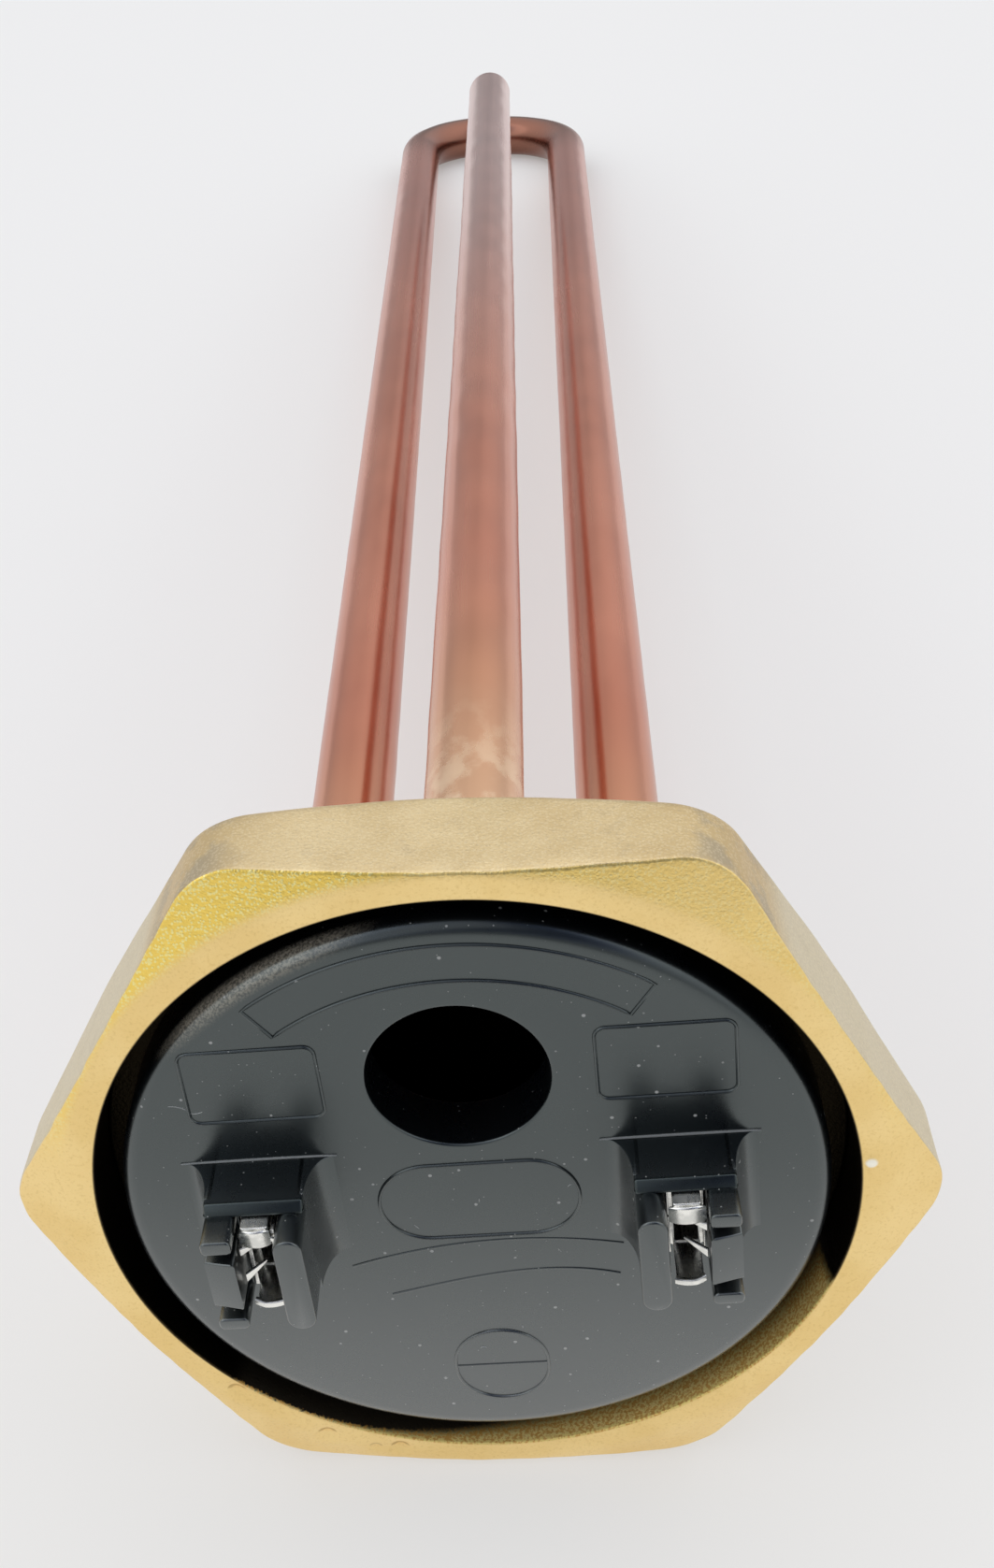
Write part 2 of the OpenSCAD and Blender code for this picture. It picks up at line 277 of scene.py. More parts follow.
def round_box(width, height, radius, steps=6, straight=4):
    """Closed outline of a rectangle with round corners, middle at zero."""
    quarter = np.linspace(0, math.pi / 2, steps)
    parts = []
    for k, (sx, sy) in enumerate([(1, 1), (-1, 1), (-1, -1), (1, -1)]):
        a = quarter + k * math.pi / 2
        centre = np.array([sx * (width / 2 - radius), sy * (height / 2 - radius)])
        parts.append(centre + radius * np.stack([np.cos(a), np.sin(a)], -1))
    ring = []
    for part, following in zip(parts, parts[1:] + parts[:1]):
        gap = np.linspace(0, 1, straight, endpoint=False)[1:, None]
        ring += [part, part[-1] + (following[0] - part[-1]) * gap]
    return np.concatenate(ring)


def leftward(chords):
    """Unit vectors in the plane, a quarter turn to the left of each chord."""
    chords = chords / (np.linalg.norm(chords, axis=1, keepdims=True) + 1e-12)
    return np.stack([-chords[:, 1], chords[:, 0]], -1)


def inset(outline, depth):
    """Outline moved inwards by depth along the normal of its neighbours' chord."""
    following = np.roll(outline, -1, 0)
    next_x, next_y = following.T
    area = np.sum(outline[:, 0] * next_y - outline[:, 1] * next_x)
    inward = leftward(following - np.roll(outline, 1, 0)) * np.sign(area)
    return outline + inward * depth


def prism(outline, low, high, place, edge_low=0.12, edge_high=0.12, steps=4):
    """Outline carried from low to high; each end is rounded by a quarter circle that
    draws the outline in by edge (1 - cos a) while it rises by edge sin a, and is closed flat.
    """
    quarter = np.linspace(0, math.pi / 2, steps)
    rows = []
    for edge, end, way in ((edge_low, low, 1), (edge_high, high, -1)):
        ring = [
            (inset(outline, edge * (1 - math.cos(a))), end + way * edge * (1 - math.sin(a)))
            for a in quarter
        ]
        rows += ring[::-1] if way > 0 else ring
    points = np.stack([place(flat, np.full(len(flat), level)) for flat, level in rows])
    return Shell(points, caps=(0, -1))


def facing_front(flat, level):
    """Outline in (x, z), carried along y."""
    return np.stack([flat[:, 0], level, flat[:, 1]], -1)


def facing_up(flat, level):
    """Outline in (x, y), carried along z."""
    return np.stack([flat[:, 0], flat[:, 1], level], -1)


def facing_side(flat, level):
    """Outline in (y, z), carried along x."""
    return np.stack([level, flat[:, 0], flat[:, 1]], -1)


def soft_outline(corners, radius):
    """Closed outline whose corners are cut to parabolas."""
    ring = [np.array([corner], float) for corner in corners]
    middle = (ring[0] + ring[-1]) / 2
    return rounded([middle, *ring, middle], np.broadcast_to(radius, len(ring)))[:-1, 0]


def on_insert(points):
    """From the insert's own frame to the part's: turned about the plug's axis."""
    x, y, z = np.moveaxis(points, -1, 0)
    c, s = math.cos(INSERT_TURN), math.sin(INSERT_TURN)
    return np.stack([x * c - z * s, y, x * s + z * c], -1)


def on_tower(side):
    """From a tower's frame, x outward and y = 0 on the insert's face, to the part's."""
    def move(points):
        shift = np.array([TOWER_X, FACE_Y, 0])
        return on_insert((points + shift) * np.array([side, 1, 1]))
    return move


# Finishes

class Wire:
    """A shader socket. Sums and products of wires and numbers add Math nodes."""

    def __init__(self, finish, socket):
        self.finish = finish
        self.socket = socket

    def maths(self, operation, *terms):
        """A Math node on wires and numbers."""
        return self.finish.add("ShaderNodeMath", {"operation": operation}, dict(enumerate(terms)))

    def __add__(self, other):
        return self.maths("ADD", self, other)

    def __radd__(self, other):
        return self.maths("ADD", other, self)

    def __sub__(self, other):
        return self.maths("SUBTRACT", self, other)

    def __rsub__(self, other):
        return self.maths("SUBTRACT", other, self)

    def __mul__(self, other):
        return self.maths("MULTIPLY", self, other)

    def __rmul__(self, other):
        return self.maths("MULTIPLY", other, self)

    def __pow__(self, other):
        return self.maths("POWER", self, other)

    def most(self, other):
        return self.maths("MAXIMUM", self, other)

    def least(self, other):
        return self.maths("MINIMUM", self, other)

    def beside(self, name):
        """Another output of the same node."""
        return Wire(self.finish, self.socket.node.outputs[name])

    def band(self, low, high):
        """0 at low and 1 at high, with a smooth S between."""
        return self.finish.add(
            "ShaderNodeMapRange", {"interpolation_type": "SMOOTHSTEP"},
            {"Value": self, "From Min": low, "From Max": high},
        )


class Nodes:
    """A shader's node tree, emptied and ready to be filled."""

    def __init__(self, tree):
        self.tree = tree
        tree.nodes.clear()

    def add(self, kind, settings, sockets, out=0):
        """A node of this kind: settings first, then each socket's value or link."""
        node = self.tree.nodes.new(kind)
        for key, value in settings.items():
            setattr(node, key, value)
        for key, value in sockets.items():
            if isinstance(value, Wire):
                self.tree.links.new(value.socket, node.inputs[key])
            else:
                node.inputs[key].default_value = value
        return Wire(self, node.outputs[out]) if len(node.outputs) else None

    def axes(self, vector):
        """The x, y and z of a vector."""
        return [self.add("ShaderNodeSeparateXYZ", {}, {0: vector}, k) for k in range(3)]

    def blend(self, factor, first, second):
        """Colour from first, at factor 0, to second, at 1."""
        return self.add("ShaderNodeMix", {"data_type": "RGBA"}, {0: factor, 6: first, 7: second}, 2)


class Finish(Nodes):
    """A material on Object coordinates in millimetres."""

    def __init__(self, name):
        self.material = bpy.data.materials.new(name)
        self.material.use_nodes = True
        super().__init__(self.material.node_tree)
        place = self.add("ShaderNodeTexCoord", {}, {}, "Object")
        self.mm = self.scaled(place, (1 / MM,) * 3)
        self.x, self.y, self.z = self.axes(self.mm)

    def scaled(self, vector, factors):
        """Vector times one factor for each axis."""
        return self.add("ShaderNodeVectorMath", {"operation": "MULTIPLY"}, {0: vector, 1: factors})

    def noise(self, size, detail=3.0, stretch=(1, 1, 1), rough=0.55):
        """Cloudy value of about 0.3 to 0.7, with patches of `size` mm times stretch."""
        where = self.scaled(self.mm, tuple(1 / (size * k) for k in stretch))
        return self.add(
            "ShaderNodeTexNoise", {},
            {"Vector": where, "Scale": 1.0, "Detail": detail, "Roughness": rough},
        )

    def specks(self, size, radius, share):
        """Spots of up to `radius` mm, in a share of the cells of `size` mm."""
        where = self.scaled(self.mm, (1 / size,) * 3)
        away = self.add("ShaderNodeTexVoronoi", {}, {"Vector": where, "Scale": 1.0})
        lot = self.add("ShaderNodeSeparateColor", {}, {0: away.beside("Color")})
        edge = radius / size
        return away.band(1.3 * edge, 0.7 * edge) * lot.band(share + 0.01, share - 0.01)

    def mark(self, name):
        """Value that the mesh keeps at each point under this name."""
        return self.add("ShaderNodeAttribute", {"attribute_name": name}, {}, "Fac")

    def bump(self, height, distance, strength=1.0):
        """Normal of a surface raised by height times distance, in millimetres."""
        return self.add(
            "ShaderNodeBump", {},
            {"Height": height, "Distance": distance * MM, "Strength": strength},
        )

    def close(self, **sockets):
        """Ends the material in one principled shader with these sockets."""
        named = {}
        for key, value in sockets.items():
            named[key.replace("_", " ").title().replace("Ior", "IOR")] = value
        shader = self.add("ShaderNodeBsdfPrincipled", {}, named)
        self.add("ShaderNodeOutputMaterial", {}, {"Surface": shader})
        return self.material


def rgb(red, green, blue):
    """Opaque colour in linear light."""
    return (red, green, blue, 1.0)


def pit_marks(f):
    """Shade on the upper side of each pit's wall, and the shine on a bump's middle."""
    shade, shine = 0.0, 0.0
    for x, z, depth, width in PITS:
        across, up = f.x - x, f.z - z
        away = (across * across + up * up) ** 0.5
        if depth > 0:
            wall = away.band(1.1 * width, 0.95 * width) * away.band(0.4 * width, 0.7 * width)
            shade = wall * up.band(0.0, 0.5 * width) * min(3 * depth, 1.0) + shade
        else:
            shine = away.band(width, 0.5 * width) + shine
    return shade, shine


def brass_finish():
    """Hot-stamped brass: grain on the front cone with a painted glint, brightest at its top left,
    gold land, and dull beige flats with painted shade towards the sides. The recess is painted
    black as shade, but for a painted lit patch of metal low on its wall that goes deeper
    towards +X, with a painted highlight along its front edge low on the left.
    """
    f = Finish("blasted_brass")
    front, cone = f.mark("front"), f.mark("cone")
    radius = (f.x * f.x + f.z * f.z) ** 0.5
    recess = radius.band(RECESS_R + 0.2, RECESS_R + 0.05) * f.y.band(RECESS_Y + 0.7, RECESS_Y + 0.3)
    cavity = radius.band(CAVITY_R + 1.0, CAVITY_R + 0.5) * f.y.band(WALL_Y + 0.6, WALL_Y + 0.3)
    inside = recess.most(cavity)
    cloud = f.noise(7.0, 4.0)
    # Painted light: the sector low in the recess that is painted as lit; outside it the wall is
    # painted black as shade.
    painted_lit_sector = (0.225 * f.x - 0.974 * f.z + 3.0 * (cloud - 0.5)).band(0.50 * RECESS_R, 0.56 * RECESS_R)
    grain = f.noise(0.22, 3.0)
    lit = f.x.band(-14.0, 20.0) * painted_lit_sector
    # Painted shade: the wall darkens deeper into the recess.
    painted_depth_shade = (f.y + 0.8 * (grain - 0.5)).band(FACE_Y + 1.4 * lit, FACE_Y + 0.2 + 4.6 * lit)
    # Painted highlight along the recess's front edge, low on the left.
    painted_lip_highlight = f.y.band(FACE_Y + 0.5, FACE_Y + 0.1) * f.x.band(-14.0, -6.0) * painted_lit_sector
    # Painted highlight: the front cone's grain is painted as a glint, strongest at its top and
    # left.
    painted_glint = cone * f.z.band(3.0, 14.0) * (0.3 + 0.7 * f.x.band(16.0, -8.0))
    fine = f.noise(0.14, 2.0)
    dots = f.specks(0.2, 0.09, 0.75)
    smudge = f.noise(2.6, 4.0)
    dull = f.blend(cloud.band(0.35, 0.65), rgb(0.74, 0.565, 0.305), rgb(0.845, 0.67, 0.39))
    aside = f.x * f.x
    # Painted shade darkens the flats towards the sides; nearer the side corners they turn paler
    # grey-beige.
    dull = f.blend(aside.band(40.0, 330.0), dull, rgb(0.62, 0.455, 0.225))
    dull = f.blend(aside.band(330.0, 420.0), dull, rgb(0.70, 0.61, 0.43))
    worn = aside.band(150.0, 250.0) * f.z.band(20.0, 24.0) * smudge.band(0.42, 0.6)
    dull = f.blend(worn * 0.6, dull, rgb(0.40, 0.35, 0.27))
    soil = smudge.band(0.54, 0.8) * 0.3 + grain.band(0.52, 0.7) * 0.25
    dull = f.blend(soil, dull, rgb(0.50, 0.41, 0.28))
    dull = f.blend(dots * 0.2, dull, rgb(1.0, 0.88, 0.62))
    gold = f.blend(cloud.band(0.35, 0.65), rgb(0.94, 0.69, 0.29), rgb(1.0, 0.76, 0.35))
    gold = f.blend(grain.band(0.5, 0.72) * 0.3, gold, rgb(0.72, 0.49, 0.17))
    painted_glint_gold = f.blend(dots, rgb(1.0, 0.72, 0.16), rgb(1.0, 0.87, 0.36))
    shade, shine = pit_marks(f)
    gold = f.blend(shade * 0.75, gold, rgb(0.50, 0.33, 0.10))
    gold = f.blend(shine, gold, rgb(1.0, 0.97, 0.86))
    colour = f.blend(front, dull, f.blend(painted_glint, gold, painted_glint_gold))
    painted_lit_metal = f.blend(grain.band(0.42, 0.58), rgb(0.78, 0.42, 0.09), rgb(1.0, 0.78, 0.29))
    painted_lit_metal = f.blend(painted_lip_highlight * grain.band(0.4, 0.56), painted_lit_metal, rgb(1.0, 0.78, 0.25))
    # Painted shade: black outside the lit sector and deeper in, painted lit metal inside it.
    painted_recess_shade = f.blend(painted_lit_sector, rgb(0.04, 0.028, 0.014), painted_lit_metal)
    painted_recess_shade = f.blend(painted_depth_shade, painted_recess_shade, rgb(0.02, 0.015, 0.008))
    colour = f.blend(inside, colour, painted_recess_shade)
    rough = 0.46 - 0.05 * front - 0.08 * painted_glint + 0.2 * (fine - 0.5) + 0.1 * (smudge - 0.5)
    normal = f.bump((0.35 + 0.4 * inside) * grain + 0.3 * fine + 0.1 * painted_glint * dots, 0.1, 0.7)
    metal = 1 - 0.75 * inside * painted_lit_sector
    return f.close(base_color=colour, metallic=metal, roughness=rough, normal=normal)


def copper_finish(name, stain, painted_bend_shade, fade, end):
    """Drawn copper: lines along the tube, slow clouds, pale stains by the plug, and painted shade
    on the bend.
    """
    f = Finish(name)
    lines = f.noise(0.5, 2.0, (1, 90, 1))
    cloud = f.noise(11.0, 3.0, (1, 3, 1))
    near = f.y.band(62.0, 12.0)
    far = f.y.band(*fade)
    colour = f.blend(cloud.band(0.3, 0.7), rgb(0.57, 0.215, 0.136), rgb(0.67, 0.275, 0.18))
    colour = f.blend(near * 0.68, colour, rgb(0.77, 0.47, 0.26))
    colour = f.blend(far * 0.85, colour, rgb(*end))
    # Painted shade darkens the bend, by the given share.
    colour = f.blend(f.y.band(266.0, 290.0) * painted_bend_shade, colour, rgb(0.24, 0.11, 0.075))
    blotch = f.noise(2.6, 4.0, (1, 1.4, 1))
    pale = f.y.band(36.0, 14.0) * (0.2 + 0.65 * blotch.band(0.45, 0.64)) * stain
    colour = f.blend(pale, colour, rgb(0.97, 0.73, 0.50))
    rough = 0.25 + 0.1 * (lines - 0.5) + 0.14 * (cloud - 0.5) + 0.12 * pale
    normal = f.bump(lines, 0.015, 0.4)
    return f.close(base_color=colour, metallic=1.0, roughness=rough, normal=normal)


def moulding_finish():
    """Satin black moulding with a fine skin, white dusty specks and lint, a painted pale highlight
    along the towers' seams and a painted highlight on the rim at the upper left; glossier
    towards its foot and dull on the bevelled ends of the towers' slabs.
    """
    f = Finish("black_moulding")
    skin = f.noise(0.45, 3.0)
    cloud = f.noise(5.0, 4.0)
    # This mark holds real dust and lint, and also a painted pale highlight on the towers' seams.
    dust = (0.55 * f.specks(0.5, 0.05, 0.28)).most(f.specks(1.7, 0.12, 0.6)).most(f.mark("dust"))
    film = f.noise(0.8, 5.0).band(0.58, 0.8) * 0.4
    colour = f.blend(film, rgb(0.0015, 0.002, 0.003), rgb(0.006, 0.0065, 0.0075))
    # Painted highlight: a pale grainy reflection on the rim at the upper left.
    painted_rim_highlight = (f.x * f.x + f.z * f.z).band((INSERT_R - 1.3) ** 2, (INSERT_R - 0.5) ** 2)
    painted_rim_highlight = painted_rim_highlight * f.y.band(FACE_Y + 1.6, FACE_Y + 0.9)
    upper_left = (0.819 * f.z - 0.574 * f.x).band(0.91 * INSERT_R, 0.985 * INSERT_R)
    painted_rim_highlight = painted_rim_highlight * upper_left * (0.45 + f.noise(0.17, 3.0).band(0.38, 0.62))
    colour = f.blend(painted_rim_highlight * 0.7, colour, rgb(0.38, 0.34, 0.26))
    colour = f.blend(dust, colour, rgb(0.55, 0.55, 0.52))
    rough = 0.29 + 0.14 * (cloud - 0.5) + 0.1 * (skin - 0.5) + 0.4 * dust
    normal = f.bump(0.7 * skin + 0.6 * dust, 0.02, 0.3)
    gloss = (0.32 + 0.68 * f.z.band(8.0, -26.0) + 0.25 * f.y.band(-9.0, -12.0)).least(1.0)
    slab_end = FACE_Y - WALL_REACH
    bevel = f.y.band(slab_end + 0.8, slab_end + 0.6) * f.y.band(slab_end - 0.4, slab_end - 0.2)
    bevel = bevel * (f.z - math.tan(INSERT_TURN) * f.x).band(WALL_FOOT - 0.1, WALL_FOOT + 0.15)
    gloss = gloss * (1 - 0.8 * bevel)
    return f.close(
        base_color=colour, roughness=rough, normal=normal, ior=1.65,
        specular_tint=rgb(0.78, 1.0, 0.99), coat_weight=gloss, coat_roughness=0.27, coat_ior=2.2,
    )


def tin_finish():
    """Tin-plated sheet: bright, slightly wavy, with a grey cast in patches."""
    f = Finish("tinned_sheet")
    cloud = f.noise(0.9, 4.0)
    rub = f.noise(0.2, 3.0, (1, 6, 1))
    colour = f.blend(cloud.band(0.4, 0.65), rgb(0.97, 0.96, 0.91), rgb(0.78, 0.78, 0.74))
    rough = 0.28 + 0.25 * (cloud - 0.5) + 0.2 * (rub - 0.5)
    normal = f.bump(0.5 * cloud + 0.5 * rub, 0.03, 0.4)
    return f.close(base_color=colour, metallic=1.0, roughness=rough, normal=normal)


def plain_finish(name, dark, light, size, roughness, metallic):
    """Finish of the inner pieces: two tones in clouds of one size, with a matching grain."""
    f = Finish(name)
    cloud = f.noise(size, 4.0)
    grain = f.noise(size / 6, 3.0)
    colour = f.blend(cloud.band(0.35, 0.65), rgb(*dark), rgb(*light))
    rough = roughness + 0.2 * (grain - 0.5)
    normal = f.bump(grain, 0.03, 0.4)
    return f.close(base_color=colour, metallic=metallic, roughness=rough, normal=normal)


BRASS = brass_finish()
SHEATH_COPPER = copper_finish("sheath_copper", 0.3, 0.9, (110.0, 285.0), (0.627, 0.298, 0.244))
WELL_COPPER = copper_finish("well_copper", 1.0, 0.0, (70.0, 225.0), (0.72, 0.53, 0.50))
MOULDING = moulding_finish()
TIN = tin_finish()
FILLER = plain_finish("braze_filler", (0.55, 0.40, 0.24), (0.80, 0.64, 0.40), 1.2, 0.34, 1.0)
MAGNESIA = plain_finish("magnesia", (0.72, 0.71, 0.67), (0.86, 0.85, 0.81), 1.5, 0.85, 0.0)
CERAMIC = plain_finish("fired_ceramic", (0.74, 0.71, 0.64), (0.86, 0.83, 0.77), 2.0, 0.6, 0.0)
RESIN = plain_finish("seal_resin", (0.22, 0.11, 0.06), (0.34, 0.19, 0.11), 1.5, 0.4, 0.0)
STEEL = plain_finish("drawn_steel", (0.42, 0.42, 0.43), (0.58, 0.58, 0.59), 1.2, 0.35, 1.0)


# Plug

def hexagon_reach(angles):
    """Radius of the hexagon with round corners: the flat's a / cos away from a corner, and
    inside the corner d cos e + sqrt(r^2 - d^2 sin^2 e), with e counted from the corner.
    """
    sixth = math.pi / 3
    e = (angles + sixth / 2) % sixth - sixth / 2
    d = CORNER_REACH - HEX_EDGE_R
    turn = math.atan2(HEX_EDGE_R * math.sin(math.pi / 6), d + HEX_EDGE_R * math.cos(math.pi / 6))
    arc = d * np.cos(e) + np.sqrt(np.maximum(HEX_EDGE_R ** 2 - (d * np.sin(e)) ** 2, 0))
    flat = HEX_HALF / np.cos(math.pi / 6 - np.abs(e))
    return np.where(np.abs(e) < turn, arc, flat)


def thread_rows(angles, count):
    """Radius of a right-hand thread: crest minus half its depth times 1 - cos of the turn
    that is left, y / pitch + angle. It fades to the root at the shoulder, and the lead cone
    cuts it.
    """
    y = np.linspace(THREAD_END - 0.25, THREAD_START, count)[:, None]
    root = THREAD_R - THREAD_DEPTH
    wave = 0.5 + 0.5 * np.cos(y / THREAD_PITCH * FULL_TURN + angles)
    radius = root + THREAD_DEPTH * wave * smooth(0.9, 2.4, y)
    lead = THREAD_R - np.maximum(y - (THREAD_END - THREAD_LEAD), 0)
    return np.stack([np.minimum(radius, lead), y + 0 * angles], -1)


def corner_row(k, arc, fill):
    """Row in the middle of corner k of what `rounded` returns."""
    return 1 + (k - 1) * (fill - 1 + arc) + fill - 1 + arc // 2


def plug_mesh():
    """One turned surface whose outer radius follows the hexagon: from the axis over the end
    wall, along the thread, round the head, down the recess and back to the axis inside.
    """
    angles = circle_of(480)
    reach = hexagon_reach(angles)

    def at(r, y):
        """Ring of radius r at height y, each one value or one for every angle."""
        return np.stack([r + 0 * angles, y + 0 * angles], -1)

    end_r = THREAD_R - THREAD_LEAD - 0.3
    end = rounded([at(r, THREAD_END) for r in (0, 6, 13, end_r)], [0.1] * 2, 2)
    thread = thread_rows(angles, 56)
    root = THREAD_R - THREAD_DEPTH
    front_y = FACE_Y + (reach - FRONT_LAND) * FRONT_SLOPE
    rear_y = -(reach - HEX_HALF) * REAR_SLOPE
    arc, fill = 7, 8
    head = rounded(
        [at(root, THREAD_START), at(root, 0), at(HEX_HALF - 0.8, 0), at(reach, rear_y),
         at(reach, front_y), at(FRONT_LAND, FACE_Y), at(RECESS_R, FACE_Y),
         at(RECESS_R, RECESS_Y + 0.6)],
        [0.3, 0.9, 0.8, 0.24, 0.6, 0.15], arc, fill,
    )
    inside = rounded(
        [at(RECESS_R, RECESS_Y + 0.5), at(RECESS_R, RECESS_Y), at(CAVITY_R, RECESS_Y),
         at(CAVITY_R, WALL_Y), at(0, WALL_Y)],
        [0.3, 0.25, 0.8], 4, 2,
    )
    rows = np.concatenate([end, thread, head, inside])
    points = turned(rows, angles)
    x, y, z = np.moveaxis(points, -1, 0)
    radius = np.hypot(x, z)
    row = np.arange(len(rows))[:, None] - len(end) - len(thread)
    edge, bore = corner_row(4, arc, fill), corner_row(6, arc, fill) + arc // 2
    on_head = (row >= 0) & (row <= bore) & (y < 0.05)
    stamped = ripple(points, 16.0, 3) * 0.05 + ripple(points, 5.0, 4) * 0.02
    stamped += ripple(points, 1.7, 6) * 0.035 * np.exp(-((row - edge) / 3.0) ** 2)
    outward = smooth(RECESS_R + 1.4, HEX_HALF - 0.2, radius) * on_head
    for k in (0, 2):
        points[..., k] *= 1 + outward * stamped / np.maximum(radius, 1)
    front = on_head & (row >= edge)
    flat_front = front * smooth(RECESS_R + 0.1, RECESS_R + 0.5, radius)
    points[..., 1] += flat_front * (ripple(points, 12.0, 5) * 0.05 + ripple(points, 3.0, 7) * 0.012)
    for pit_x, pit_z, depth, width in PITS:
        away = (x - pit_x) ** 2 + (z - pit_z) ** 2
        points[..., 1] += flat_front * depth * np.exp(-away / width ** 2)
    cone = front * smooth(FRONT_LAND - 0.1, FRONT_LAND + 0.9, radius)
    shell = Shell(points, marks={"front": 1.0 * front, "cone": cone})
    return mesh_of("plug_body", [shell])


def leg_frame(side):
    """Foot and direction of a leg: it runs from the end wall to touch the bend's circle."""
    reach = math.hypot(LEG_X, BEND_Y - THREAD_END)
    lean = math.asin(BEND_R / reach) - math.atan2(LEG_X, BEND_Y - THREAD_END)
    foot = np.array([side * LEG_X, THREAD_END, LEG_Z])
    return foot, np.array([side * math.sin(lean), math.cos(lean), 0.0]), lean


def beside_of(way):
    """Level direction at a right angle to a level one."""
    return np.stack([way[..., 1], -way[..., 0], 0 * way[..., 2]], -1)


def ring_round(beside, angles):
    """Unit circle across a tube: beside cos a + up sin a."""
    return beside[..., None, :] * np.cos(angles)[:, None] + UP * np.sin(angles)[:, None]


def tube_hole(foot, way, radius):
    """Closed cylinder round a straight line, for cutting a hole."""
    ring = ring_round(beside_of(way), circle_of(64))
    points = np.stack([foot + way * t + radius * ring for t in HOLE_SPAN])
    return Shell(points, caps=(0, -1))


holes = [tube_hole(*leg_frame(side)[:2], SHEATH_R) for _, side in SIDES]
holes.append(tube_hole(WELL_FOOT, INTO_TANK, WELL_R))
show("plug_body", pierced(plug_mesh(), holes), BRASS, "brass_body", "hex_plug")


# Tubes

def u_path(leg_rows, bend_rows):
    """Points and side directions along the right leg, round the bend and back."""
    foot, way, lean = leg_frame(1)
    run = (BEND_Y - THREAD_END) * math.cos(lean) - LEG_X * math.sin(lean)
    steps = np.linspace(-SHEATH_STUB, run, leg_rows, endpoint=False)[:, None]
    right = foot + steps * way
    turn = np.linspace(-lean, math.pi + lean, bend_rows)[:, None]
    bend = np.concatenate(
        [BEND_R * np.cos(turn), BEND_Y + BEND_R * np.sin(turn), LEG_Z + 0 * turn], 1)
    left = right[::-1] * np.array([-1, 1, 1])
    points = np.concatenate([right, bend, left])
    along = np.gradient(points, axis=0)
    along /= np.linalg.norm(along, axis=1, keepdims=True)
    return points, beside_of(along)


def sheath_mesh():
    """Tube wall as one closed sheet: out along the outer circle, back along the bore. In the
    bend the outer radius grows by swell - 0.05 cos 2a, and a ripple creases it.
    """
    angles = circle_of(56)

    def skin(path, beside, radius):
        """Circle round every point of a path."""
        return path[:, None] + radius * ring_round(beside, angles)

    path, beside = u_path(170, 72)
    bent = smooth(BEND_Y - 6, BEND_Y + 4, path[:, 1])[:, None]
    outer = skin(path, beside, SHEATH_R)
    crease = ripple(outer, 7.0, 11) * 0.04 + ripple(outer, 30.0, 12) * 0.03
    squeeze = bent * (BEND_SWELL - 0.05 * np.cos(2 * angles))
    radius = SHEATH_R + squeeze + crease * (0.35 + 0.65 * bent)
    outer = skin(path, beside, radius[..., None])
    bore_path, bore_beside = u_path(20, 40)
    bore = skin(bore_path, bore_beside, SHEATH_BORE_R)[::-1]
    return mesh_of("heater_tube", [Shell(np.concatenate([outer, bore]), wrap_rows=True)])


def well_mesh():
    """Turned tube with a half-ball tip, outer skin to the tip and bore back to the mouth. A
    ripple dents the outer skin's straight part.
    """
    angles = circle_of(64)
    quarter = np.linspace(0, math.pi / 2, 14)

    def skin(radius, tip, rows):
        """Rows of (radius, y): straight to the tip, then a quarter circle."""
        straight = np.linspace(WELL_MOUTH, tip - radius, rows, endpoint=False)
        r = np.concatenate([0 * straight + radius, radius * np.cos(quarter)])
        y = np.concatenate([straight, tip - radius + radius * np.sin(quarter)])
        return np.stack([r, y], -1)

    straight_rows = 200
    outer = skin(WELL_R, WELL_TIP, straight_rows)
    bore = skin(WELL_BORE_R, WELL_TIP - (WELL_R - WELL_BORE_R), 30)[::-1]
    rows = np.concatenate([outer, bore])[:, None] + np.zeros((1, len(angles), 1))
    points = turned(rows, angles, (0, WELL_Z))
    dent = ripple(points, 9.0, 21) * 0.03 + ripple(points, 40.0, 22) * 0.04
    out = (points - WELL_FOOT) * np.array([1, 0, 1])
    dented = (np.arange(len(rows)) < straight_rows)[:, None, None]
    points = points + dented * out / WELL_R * dent[..., None]
    return mesh_of("well_tube", [Shell(points, wrap_rows=True, skip=(len(outer) - 1,))])


def bead_mesh(name, foot, way, tube_r, seed):
    """Fillet of filler round a tube. Its hollow profile, w ((1 - t)^1.5 + b sin(pi t)) outward
    and h (t^1.5 + b sin(pi t)) upward, turns about the tube, and w and h each change by a
    wave round the turn.
    """
    angles = circle_of(96)
    loop = np.stack([np.cos(angles), np.sin(angles), 0 * angles], -1)
    width = BRAZE_LEG * (1 + 0.22 * ripple(loop, 1.1, seed))[None]
    height = BRAZE_LEG * (1 + 0.30 * ripple(loop, 0.9, seed + 1))[None]
    t = np.linspace(0, 1, 11)[:, None]
    bulge = 0.1116 * np.sin(t * math.pi)
    out = width * (1 - t) ** 1.5 + bulge * width
    rise = height * t ** 1.5 + bulge * height
    profile = np.stack([tube_r + out, rise], -1)
    inner, under = tube_r - BRAZE_SINK / 2 + 0 * width, 0 * width - BRAZE_SINK
    back = [np.concatenate([inner, inner, tube_r + width]), np.concatenate([height, under, under])]
    rows = np.concatenate([profile, np.stack(back, -1)])
    ring = ring_round(beside_of(way), angles)
    points = foot + rows[..., :1] * ring + rows[..., 1:] * way
    return mesh_of(name, [Shell(points, wrap_rows=True)])


show("heater_tube", sheath_mesh(), SHEATH_COPPER, "copper_sheath", "heater_sheath")
show("well_tube", well_mesh(), WELL_COPPER, "copper_well", "thermowell")
for name, side in SIDES:
    foot, way, _ = leg_frame(side)
    bead = bead_mesh(f"bead_{name}", foot, way, SHEATH_R, 30 + side)
    show(f"bead_{name}", bead, FILLER, "braze_filler", f"braze_{name}")
bead = bead_mesh("bead_well", WELL_FOOT, INTO_TANK, WELL_R, 40)
show("bead_well", bead, FILLER, "braze_filler", "braze_well")


# Insert

